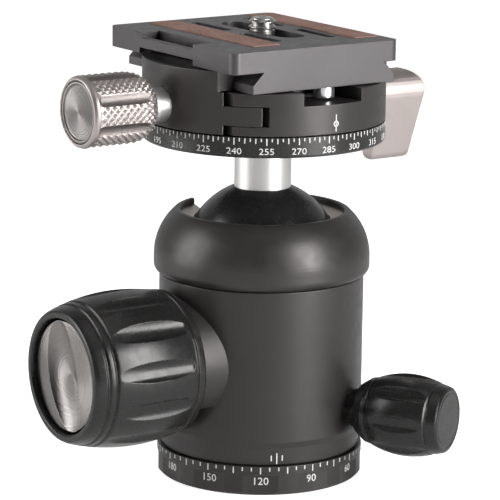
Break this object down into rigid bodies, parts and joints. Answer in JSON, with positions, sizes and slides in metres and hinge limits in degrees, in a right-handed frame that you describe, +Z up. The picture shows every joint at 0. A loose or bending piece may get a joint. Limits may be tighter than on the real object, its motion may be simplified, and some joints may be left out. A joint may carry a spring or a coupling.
{
  "type": "tripod ball head",
  "caption": "Ball head for a tripod with a panning base, a drop notch, a top panning clamp, lock knobs and a sliding quick release plate with a camera stud.",
  "frame": {"origin": "centre of the tripod thread at the base's underside", "axes": "+Z up along the body and the stem; -X towards the ball lock knob and the jaw knob; +Y towards the drop notch"},
  "size_m": [0.0957, 0.0721, 0.1048],
  "materials": {
    "black_anodised": "fine matte anodised, dark warm grey",
    "grey_anodised": "satin anodised, dark grey",
    "seat_alloy": "bare turned",
    "ball_black": "hard anodised, satin black",
    "satin_silver": "turned, satin",
    "champagne": "satin anodised, champagne",
    "steel": "turned",
    "bright_steel": "polished",
    "bronze": "turned",
    "slide_plastic": "smooth",
    "strip_rubber": "fine grained, brown",
    "dark_fibre": "smooth"
  },
  "bodies": {
    "base": {"base_ring": "black_anodised", "tripod_bushing": "steel", "hub_retainer": "steel", "hub_bolt": "steel", "pan_washer": "slide_plastic"},
    "body": {"housing": "black_anodised", "collar": "black_anodised", "seat_ring": "seat_alloy", "thrust_plate": "steel", "lock_bushing": "bronze", "pan_bushing": "bronze"},
    "wedge": {"lift_wedge": "steel"},
    "cup": {"ball_cup": "seat_alloy"},
    "liner": {"cup_liner": "slide_plastic"},
    "ball_and_stem": {"ball": "ball_black", "stem": "satin_silver", "stem_stud": "steel", "scale_ring": "black_anodised", "top_retainer": "steel", "top_bolt": "steel", "top_washer": "slide_plastic"},
    "ball_lock": {"lock_knob": "black_anodised", "lock_screw": "steel", "dial_stop_ring": "steel"},
    "dial": {"friction_dial": "satin_silver"},
    "pan_tip": {"pan_plunger": "bronze"},
    "pan_lock": {"pan_knob": "black_anodised", "pan_screw": "steel"},
    "clamp": {"clamp_body": "black_anodised", "guide_pins": "bright_steel", "jaw_springs": "bright_steel", "lever_bushing": "bronze"},
    "moving_jaw": {"jaw": "black_anodised"},
    "jaw_lock": {"jaw_knob": "champagne", "jaw_knob_cap": "champagne", "jaw_screw": "bright_steel"},
    "brake": {"brake_pad": "bronze"},
    "top_lock": {"lock_lever": "champagne", "lever_screw": "steel"},
    "quick_plate": {"plate": "grey_anodised", "strip_left": "strip_rubber", "strip_right": "strip_rubber", "stop_screws": "bright_steel"},
    "screw_slider": {"screw_washer": "dark_fibre"},
    "screw": {"camera_screw": "bright_steel"}
  },
  "joints": [
    {"name": "base_pan", "type": "hinge", "parent": "base", "child": "body", "pos_m": [0, 0, 0.0073], "axis": [0, 0, 1], "continuous": true},
    {"name": "wedge_slide", "type": "slide", "parent": "body", "child": "wedge", "axis": [-1, 0, 0], "range_m": [0, 0.0005]},
    {"name": "cup_drop", "type": "slide", "parent": "body", "child": "cup", "axis": [0, 0, -1], "range_m": [0, 0.0001]},
    {"name": "ball_lock_turn", "type": "hinge", "parent": "wedge", "child": "ball_lock", "pos_m": [0, 0, 0.0288], "axis": [-1, 0, 0], "range_deg": [0, 180]},
    {"name": "dial_turn", "type": "hinge", "parent": "ball_lock", "child": "dial", "pos_m": [0, 0, 0.0288], "axis": [-1, 0, 0], "range_deg": [0, 180]},
    {"name": "ball_spin", "type": "hinge", "parent": "body", "child": "liner", "pos_m": [0, 0, 0.05], "axis": [0, 0, 1], "range_deg": [-360, 360]},
    {"name": "ball_tilt", "type": "hinge", "parent": "liner", "child": "ball_and_stem", "pos_m": [0, 0, 0.05], "axis": [-1, 0, 0], "range_deg": [-35, 90]},
    {"name": "pan_tip_slide", "type": "slide", "parent": "body", "child": "pan_tip", "axis": [0.5, -0.866, 0], "range_m": [0, 0.0004]},
    {"name": "pan_lock_turn", "type": "hinge", "parent": "pan_tip", "child": "pan_lock", "pos_m": [0, 0, 0.0173], "axis": [0.5, -0.866, 0], "range_deg": [0, 180]},
    {"name": "top_pan", "type": "hinge", "parent": "ball_and_stem", "child": "clamp", "pos_m": [0, 0, 0.0829], "axis": [0, 0, 1], "continuous": true},
    {"name": "jaw_slide", "type": "slide", "parent": "clamp", "child": "moving_jaw", "axis": [-1, 0, 0], "range_m": [0, 0.0032]},
    {"name": "jaw_knob_turn", "type": "hinge", "parent": "moving_jaw", "child": "jaw_lock", "pos_m": [0, 0, 0.0878], "axis": [-1, 0, 0], "range_deg": [0, 1440]},
    {"name": "brake_slide", "type": "slide", "parent": "clamp", "child": "brake", "axis": [1, 0, 0], "range_m": [0, 0.0002]},
    {"name": "lever_turn", "type": "hinge", "parent": "brake", "child": "top_lock", "pos_m": [0, 0, 0.086], "axis": [1, 0, 0], "range_deg": [0, 90]},
    {"name": "plate_slide", "type": "slide", "parent": "clamp", "child": "quick_plate", "axis": [0, 1, 0], "range_m": [-0.0045, 0.0007]},
    {"name": "screw_slide", "type": "slide", "parent": "quick_plate", "child": "screw_slider", "axis": [0, 1, 0], "range_m": [-0.0105, 0.0105]},
    {"name": "screw_turn", "type": "hinge", "parent": "screw_slider", "child": "screw", "pos_m": [0.0023, 0.0043, 0.1], "axis": [0, 0, 1], "continuous": true}
  ],
  "couplings": [
    {"joint": "wedge_slide", "follows": "ball_lock_turn", "m_per_rad": 0.000159},
    {"joint": "cup_drop", "follows": "ball_lock_turn", "m_per_rad": 0.000031799},
    {"joint": "pan_lock_turn", "follows": "pan_tip_slide", "rad_per_m": 7846.1},
    {"joint": "jaw_knob_turn", "follows": "jaw_slide", "rad_per_m": 7846.1},
    {"joint": "brake_slide", "follows": "lever_turn", "m_per_rad": 0.0001272}
  ]
}
